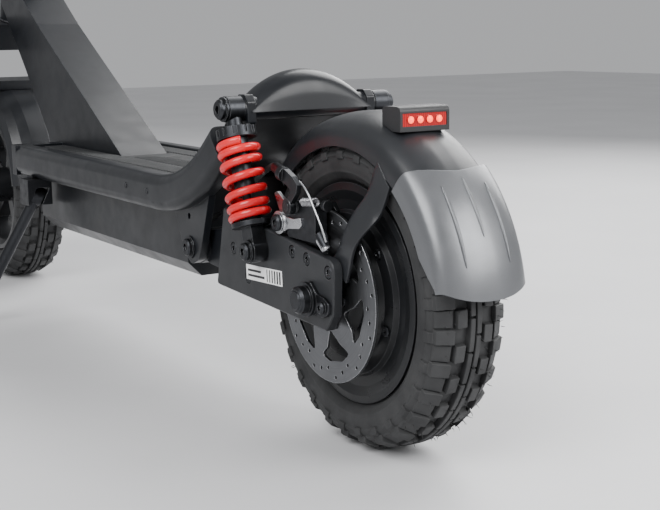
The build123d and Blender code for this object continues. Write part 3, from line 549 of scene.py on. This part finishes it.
def knob(points, faces, centre, angle, sweep, inner, outer, y0, y1, slant=0.0, drop=0.0):
    """One tread block: a bent box from radius inner to outer, y0 to y1, over sweep degrees."""
    base = len(points)
    steps = 3
    for i in range(steps + 1):
        share = i / steps - 0.5
        for r, y, lean in ((inner, y0, 1.12), (inner, y1, 1.12), (outer - drop, y1, 1.0), (outer, y0, 1.0)):
            a = math.radians(angle + sweep * share * lean + slant * (y - y0) / 10)
            points.append(centre + Vector((r * MM * math.cos(a), y * MM, r * MM * math.sin(a))))
    for i in range(steps):
        for j in range(4):
            a, b = base + 4 * i + j, base + 4 * i + (j + 1) % 4
            quad = (a, b, b + 4, a + 4)
            faces.append(quad if y1 > y0 else quad[::-1])
    first = (base + 3, base + 2, base + 1, base)
    last = tuple(base + 4 * steps + j for j in range(4))
    faces.append(first if y1 > y0 else first[::-1])
    faces.append(last if y1 > y0 else last[::-1])


def tyre_knobs(name, centre, body):
    """Off-road tread: split centre rib, inner blocks, tall and low shoulder blocks, sidewall lugs."""
    points, faces = [], []
    pitch = 360 / TREAD_PITCHES
    for i in range(TREAD_PITCHES):
        for side in (1, -1):
            a = pitch * (i + (0.5 if side < 0 else 0))
            knob(points, faces, centre, a, pitch * 0.93, 121, TREAD_R - 0.2, side * 0.7, side * 5.2)
            knob(points, faces, centre, a + pitch * 0.5, pitch * 0.5, 120, TREAD_R - 0.6, side * 8.0, side * 16.5,
                 0.4 * side, 0.8)
            knob(points, faces, centre, a, pitch * 0.42, 116, TREAD_R - 1.2, side * 18.5, side * 31.5,
                 0.2 * side, 6.5)
            knob(points, faces, centre, a + pitch * 0.5, pitch * 0.5, 115, TREAD_R - 3.4, side * 19.5, side * 31,
                 0.2 * side, 7.5)
            knob(points, faces, centre, a + pitch * 0.06, pitch * 0.34, 109, 118, side * 30.2, side * 34.6, 0, 3)
    made = piece(name, points, faces, "tyre_rubber", body, smooth=False)
    return bevelled(made, 0.0006, 1)


def tyre_hairs(name, centre, body, seed):
    """Moulding hairs left on a new tyre."""
    chance = random.Random(seed)
    points, faces = [], []
    for i in range(230):
        angle = chance.uniform(0, math.tau)
        if abs(math.remainder(angle - 1.5 * math.pi, math.tau)) < 0.42:
            continue
        side = chance.choice((-1, 1))
        y = side * chance.uniform(1, 31)
        r = TREAD_R - 1.5 if abs(y) < 17 else TREAD_R - 1.5 - (abs(y) - 17) * 0.5
        out = Vector((math.cos(angle), chance.uniform(-0.35, 0.35) + 0.02 * y, math.sin(angle))).normalized()
        root = centre + Vector((r * MM * math.cos(angle), y * MM, r * MM * math.sin(angle)))
        length = chance.uniform(2.5, 6.5) * MM
        bend = Vector([chance.uniform(-0.35, 0.35) for _ in range(3)])
        middle = root + out * length * 0.55
        tip = root + (out + bend).normalized() * length
        side_a = out.orthogonal().normalized()
        side_b = out.cross(side_a)
        base = len(points)
        for place, radius in ((root, 0.0004), (middle, 0.0003), (tip, 0.00012)):
            for k in range(3):
                a = math.tau * k / 3
                points.append(place + (side_a * math.cos(a) + side_b * math.sin(a)) * radius)
        for ring in range(2):
            for k in range(3):
                a, b = base + 3 * ring + k, base + 3 * ring + (k + 1) % 3
                faces.append((a, b, b + 3, a + 3))
        faces.append((base, base + 2, base + 1))
        faces.append((base + 6, base + 7, base + 8))
    return piece(name, points, faces, "tyre_rubber", body)


def make_tyre(side, centre, body, seed):
    carcass = tyre_carcass(side + "_tyre_casing", centre, body)
    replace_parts(carcass, side + "_tyre")
    tyre_knobs(side + "_tyre_tread", centre, body)
    tyre_hairs(side + "_tyre_hairs", centre, body, seed)


# ---- shocks ----
SHOCK_TOP = Vector(JOINT["shock_swing"]["pos_m"])
SHOCK_UP = Vector(JOINT["shock_stroke"]["axis"]).normalized()
SHOCK_Y = 73 * MM
SPRING_DROP = 0.0294        # from the shock's top bolt to the coil's first turn
SPRING_HEIGHT = 0.0642
SPRING_R = 0.0152
SPRING_WIRE_R = 0.0035
SPRING_TURNS = 6.4


def shock_spring(name, side):
    """Red coil: closed end turns, open middle turns."""
    top = SHOCK_TOP + Vector((0, side * SHOCK_Y, 0)) - SHOCK_UP * SPRING_DROP
    ahead = Vector((0, 1, 0)).cross(SHOCK_UP).normalized()
    left = SHOCK_UP.cross(ahead)
    steps = 300
    path = []
    for i in range(steps + 1):
        t = i / steps
        drop = t + 0.055 * math.sin(math.tau * t) * -1
        a = -math.tau * SPRING_TURNS * t * side + math.pi * 0.9
        path.append(top - SHOCK_UP * SPRING_HEIGHT * drop + (ahead * math.cos(a) + left * math.sin(a)) * SPRING_R)
    made = tube(name, path, SPRING_WIRE_R, "spring_red", "shock_uppers", sides=14)
    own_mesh(made)
    return made


def make_springs():
    left = shock_spring("left_shock_spring", 1)
    shock_spring("right_shock_spring", -1)
    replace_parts(left, "shock_springs")


# ---- rear fender ----
SHELL_T = 2.6
RIDGES = ((20, 139, 164), (0, 137, 156), (-20, 139, 164))


def rounded_section(half):
    """Whole (radius, y) section from its left half, and the same section one thickness inside it."""
    outer = smooth_outline(half + [(r, -y) for r, y in half[-2::-1]], 3)
    inner = []
    for i, (r, y) in enumerate(outer):
        before, after = outer[max(i - 1, 0)], outer[min(i + 1, len(outer) - 1)]
        dr, dy = after[0] - before[0], after[1] - before[1]
        size = math.hypot(dr, dy)
        inner.append((r + dy / size * SHELL_T, y - dr / size * SHELL_T))
    return outer, inner


def on_arc(r, y, degrees):
    a = math.radians(degrees)
    return AXLE + Vector((r * MM * math.cos(a), y * MM, r * MM * math.sin(a)))


def curved_shell(name, slot, half_at, start_at, end_at, steps):
    """Shell about the rear axle; start_at and end_at give its ends in degrees for each y."""
    outer, inner = [], []
    for i in range(steps + 1):
        share = i / steps
        for grid, section in zip((outer, inner), rounded_section(half_at(share))):
            grid.append([on_arc(r, y, start_at(y) + (end_at(y) - start_at(y)) * share) for r, y in section])
    return shell(name, outer, inner, slot, "swingarm")


def main_half(share):
    return [(119, 38), (131, 38), (138.5, 33.5), (143.5, 22.5), (146, 9), (146, 0)]


def tail_edge(degrees):
    """Radius of the tail panel's side edge, which sweeps up towards its tip."""
    stops = ((130, 120), (158, 121), (165, 127.5), (169.4, 134), (180, 135.5))
    for (a0, r0), (a1, r1) in zip(stops, stops[1:]):
        if degrees <= a1:
            return r0 + (r1 - r0) * max(0, degrees - a0) / (a1 - a0)
    return stops[-1][1]


def tail_half(share):
    edge = tail_edge(130.5 + 40 * share)
    return [(edge, 41), (max(edge + 1, 136.5), 41), (143, 35), (147.3, 22.5), (149.3, 9), (149.5, 0)]


def make_fender():
    upper = curved_shell("rear_fender_shell", "fender_black", main_half, lambda y: 42, lambda y: 137, 72)
    tail = curved_shell("fender_tail_panel", "fender_grey", tail_half,
                        lambda y: 134.5 - 4 * min(1, abs(y) / 38) ** 1.6,
                        lambda y: 174 - 3.5 * min(1, abs(y) / 38) ** 2.4, 44)
    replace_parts(tail, "fender_extension")
    for number, (y, start, end) in enumerate(RIDGES):
        path, widths = [], []
        for i in range(25):
            t = i / 24
            path.append(on_arc(149.3 - 2.0 * (abs(y) / 22) ** 2, y, start + (end - start) * t))
            widths.append(0.0003 + 0.0012 * math.sin(math.pi * t) ** 0.5)
        tube(f"fender_ridge_{number}", path, widths, "fender_grey", "swingarm", sides=8)
    return upper


# front edge x, z, y and rear edge x, z, y of the stay, from the swingarm plate up to the flange
STAY_ROWS = (
    (-16.5, 161.7, 56.4, -37.5, 146.3, 56.4), (-25, 168, 56.6, -43, 158, 56.6), (-30, 176, 56.6, -46, 168, 56.6),
    (-33.2, 185.4, 55.2, -49.5, 176, 56.4), (-36.9, 200.7, 49, -56, 185, 54), (-45.6, 213.6, 42.5, -62, 193, 49),
    (-48.1, 224.1, 39.6, -65.3, 200, 43.5), (-50.9, 233.8, 38.8, -68.1, 212, 40), (-56, 240, 38.4, -71, 222, 38.4),
)


def fender_stay(name, side):
    """Band from the swingarm plate up into the fender's flange, with a soft jog inward."""
    outer, inner = [], []
    for row in smooth_outline(STAY_ROWS, 3):
        front, rear = Vector(row[:1] + row[2:3] + row[1:2]), Vector(row[3:4] + row[5:6] + row[4:5])
        for grid, depth in ((outer, 0), (inner, SHELL_T)):
            line = []
            for k in range(7):
                p = front.lerp(rear, k / 6)
                line.append(at(p.x, side * (p.y + 0.5 * math.sin(math.pi * k / 6) - depth), p.z))
            grid.append(line)
    return shell(name, outer, inner, "fender_black", "swingarm")


# ---- kickplate with its domed cowl ----
def make_kickplate():
    """Panel that carries the deck up to the cross tube, and the cowl over it."""
    points, columns, rows = [], 33, 40
    bend_r, centre_z, foot_x, rise = 177.5, 379.5, 260.0, math.radians(38)
    for i in range(rows + 1):
        t = i / rows
        run = bend_r * rise + 44
        walked = run * t
        if walked < bend_r * rise:
            a = walked / bend_r
            x, z = foot_x - bend_r * math.sin(a), centre_z - bend_r * math.cos(a)
        else:
            more = walked - bend_r * rise
            x = foot_x - bend_r * math.sin(rise) - more * math.cos(rise)
            z = centre_z - bend_r * math.cos(rise) + more * math.sin(rise)
        for j in range(columns):
            y = -63.4 + 126.8 * j / (columns - 1)
            lip = 1.6 * max(0, (abs(y) - 58) / 5.4) ** 2
            points.append(at(x, y, z + lip))
    panel = piece("kickplate_panel", points, grid_faces(rows + 1, columns), "frame_paint", "frame")
    thickened(panel, 0.003, 1)
    bevelled(panel, 0.0008, 2)
    outer, inner = [], []
    for i in range(49):
        y = -60 + 120 * i / 48
        for grid, inset in ((outer, 0), (inner, 2.6)):
            crest = 229 + math.sqrt((76 - inset) ** 2 - (y * (1 - inset / 76)) ** 2)
            rise = crest - 268
            curve = [(190 - inset, 221 - inset), (168 - inset, 238 + 0.10 * rise),
                     (148 - inset, 258 + 0.62 * rise),
                     (130, crest + 1.2), (113, crest + 0.4), (102 + inset, crest - 0.25 * rise),
                     (100 + inset, 271)]
            grid.append([at(x, y * (1 - inset / 60), z) for x, z in smooth_outline(curve, 4)])
    shell("kickplate_cowl", outer, inner, "frame_paint", "frame")
    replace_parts(panel, "kickplate")


# ---- deck mat ----
def make_mat():
    """Rubber mat: base sheet, ribbed bands on each side and chevrons along the middle."""
    low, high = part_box("deck_mat")
    top = high.z - 0.001
    parts_points, parts_faces = [], []

    def brick(x0, x1, y0, y1, z0, z1, skew=0.0):
        base = len(parts_points)
        for x, y, z in ((x0, y0, z0), (x1, y0, z0), (x1, y1, z0), (x0, y1, z0),
                        (x0, y0, z1), (x1, y0, z1), (x1, y1, z1), (x0, y1, z1)):
            parts_points.append(Vector((x + skew * (y - y0), y, z)))
        for quad in ((0, 3, 2, 1), (4, 5, 6, 7), (0, 1, 5, 4), (1, 2, 6, 5), (2, 3, 7, 6), (3, 0, 4, 7)):
            parts_faces.append(tuple(base + k for k in quad))

    neck_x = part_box("frame_neck")[0].x
    brick(low.x, neck_x - 0.001, low.y, high.y, low.z, top)
    for side in (1, -1):
        y0, y1 = sorted((side * 0.0295, side * 0.0594))
        brick(neck_x - 0.001, high.x, y0, y1, low.z, top)
    x = low.x + 0.006
    while x < high.x - 0.006:
        for side in (1, -1):
            y0, y1 = sorted((side * 0.031, side * 0.056))
            brick(x, x + 0.0036, y0, y1, top - 0.0002, high.z)
            if x < neck_x - 0.03 and x > low.x + 0.03:
                ya, yb = sorted((side * 0.0015, side * 0.024))
                brick(x, x + 0.0022, ya, yb, top - 0.0002, high.z - 0.0002, 0.45 * side)
        x += 0.0072
    made = piece("deck_mat_ribbed", parts_points, parts_faces, "deck_rubber", "frame", smooth=False)
    bevelled(made, 0.0004, 1)
    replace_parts(made, "deck_mat")


# ---- small visible details ----
def make_label():
    """Plain white label with black bars on the left swingarm plate."""
    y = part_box("swingarm_plates")[1].y + 0.0002
    corner, along = at(106, 0, 128.5), Vector((-1, 0, 0.045)).normalized()
    up = Vector((0.045, 0, 1)).normalized()

    def strip(name, u0, u1, v0, v1, lift, material, slot):
        points = []
        for depth in (0, 1):
            for u, v in ((u0, v0), (u1, v0), (u1, v1), (u0, v1)):
                p = corner + along * u * MM + up * v * MM
                points.append(Vector((p.x, y + (lift - 0.2 * depth) * MM, p.z)))
        faces = [(0, 1, 2, 3), (4, 7, 6, 5), (0, 4, 5, 1), (1, 5, 6, 2), (2, 6, 7, 3), (3, 7, 4, 0)]
        return piece(name, points, faces, slot, "swingarm", material, smooth=False)

    base = strip("plate_label", 0, 62, 0, 13, 0.1, LABEL_WHITE, "plate_paint")
    bars = []
    for k in range(6):
        bars.append(strip(f"label_bar_{k}", 36 + 4.2 * k, 37.4 + 4.2 * k + 0.25 * k, 1.2, 11.8, 0.22,
                          FINISH["black_plastic"], "black_plastic"))
    for k in range(2):
        bars.append(strip(f"label_line_{k}", 3, 32 - 6 * k, 3 + 4.4 * k, 5 + 4.4 * k, 0.22,
                          FINISH["black_plastic"], "black_plastic"))
    joined("label_bars", bars)
    return base


def make_tail_light():
    """Four lit points on the lens."""
    low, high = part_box("tail_light_lens")
    for number, y in enumerate((-13.2, -4.4, 4.4, 13.2)):
        centre = Vector((low.x + 0.0006, y * MM, (low.z + high.z) / 2))
        points, rings, sides = [], 5, 20
        for i in range(rings + 1):
            a = math.pi / 2 * i / rings
            for k in range(sides):
                b = math.tau * k / sides
                points.append(centre + Vector((-0.0016 * math.sin(a), 0.003 * math.cos(a) * math.cos(b),
                                               0.003 * math.cos(a) * math.sin(b))))
        faces = grid_faces(rings + 1, sides, False, True)
        piece(f"tail_led_{number}", points, [f[::-1] for f in faces], "red_lens", "swingarm", LED_RED)


def ring_piece(name, centre, radius, wire, slot, body):
    """Ring about a Y line."""
    path = [centre + Vector((radius * math.cos(math.tau * k / 40), 0, radius * math.sin(math.tau * k / 40)))
            for k in range(40)]
    return tube(name, path, wire, slot, body, sides=10, closed=True)


def make_brake_details():
    """Inner wire from the ferrule to the arm's barrel, return spring, bracket eye and bellows."""
    wire = smooth_outline([(30, 66, 225), (25.8, 66, 225), (10.3, 66, 220), (0.3, 66, 213), (-7, 66, 203.4),
                           (-14.2, 65.5, 193.7), (-19, 64.5, 184), (-21.2, 63.5, 177)], 3)
    inner_wire = tube("brake_inner_wire", [at(*p) for p in wire], 0.0009, "alloy", sides=10)
    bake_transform(inner_wire)
    start, end = at(-10.5, 62, 177), at(-20, 62, 170.5)
    path = [start.lerp(end, k / 24) for k in range(25)]
    ribs = [0.0042 if k % 4 < 2 else 0.0036 for k in range(25)]
    tube("brake_barrel", path, ribs, "alloy", "brake_arm", sides=20)
    begin, finish = at(15, 62, 204), at(-5, 62, 206)
    coil = []
    for k in range(181):
        t = k / 180
        a = math.tau * 9 * t
        coil.append(begin.lerp(finish, t) + Vector((0, 0.0032 * math.cos(a), 0.0032 * math.sin(a))))
    tube("brake_return_spring", coil, 0.0006, "steel", "swingarm", sides=8)
    ring_piece("bracket_eye_ring", at(47.5, 66.6, 184.5), 0.0062, 0.0011, "alloy", "swingarm")


# ---- floor and light ----
def make_stage():
    size = 6.0
    floor = piece("floor", [(-size, -size, -0.0002), (size, -size, -0.0002), (size, size, -0.0002),
                            (-size, size, -0.0002)], [(0, 1, 2, 3)], "frame_paint", smooth=False)
    f = Finish("floor", roughness=0.5)
    f.put("Base Color", f.blend(f.spread(f.noise(3, 4), 0, 1), (0.6, 0.6, 0.61), (0.66, 0.66, 0.67)))
    floor.data.materials.clear()
    floor.data.materials.append(f.material)
    world = bpy.data.worlds.new("studio")
    world.use_nodes = True
    world.node_tree.nodes["Background"].inputs["Color"].default_value = (0.92, 0.93, 0.95, 1)
    world.node_tree.nodes["Background"].inputs["Strength"].default_value = 0.5
    bpy.context.scene.world = world
    for name, place, size_m, power in (
        ("key", at(-700, 1500, 1700), 1.6, 60),
        ("rim", at(900, -1600, 1500), 1.8, 70),
        ("back", at(-1600, -900, 1200), 1.2, 45),
    ):
        data = bpy.data.lights.new(name, "AREA")
        data.size = size_m
        data.energy = power
        lamp = bpy.data.objects.new(name, data)
        lamp.location = place
        lamp.rotation_mode = "QUATERNION"
        lamp.rotation_quaternion = (at(100, 0, 200) - place).to_track_quat("-Z", "Y")
        bpy.context.scene.collection.objects.link(lamp)


dress_cad_nodes()
make_tyre("rear", AXLE, "rear_wheel", 7)
make_tyre("front", FRONT_AXLE, "front_wheel", 11)
make_springs()
crown = make_fender()
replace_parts(joined("rear_fender_assembly", [crown, fender_stay("left_stay", 1), fender_stay("right_stay", -1)]),
            "rear_fender")
make_kickplate()
make_mat()
make_label()
make_tail_light()
make_brake_details()
make_stage()
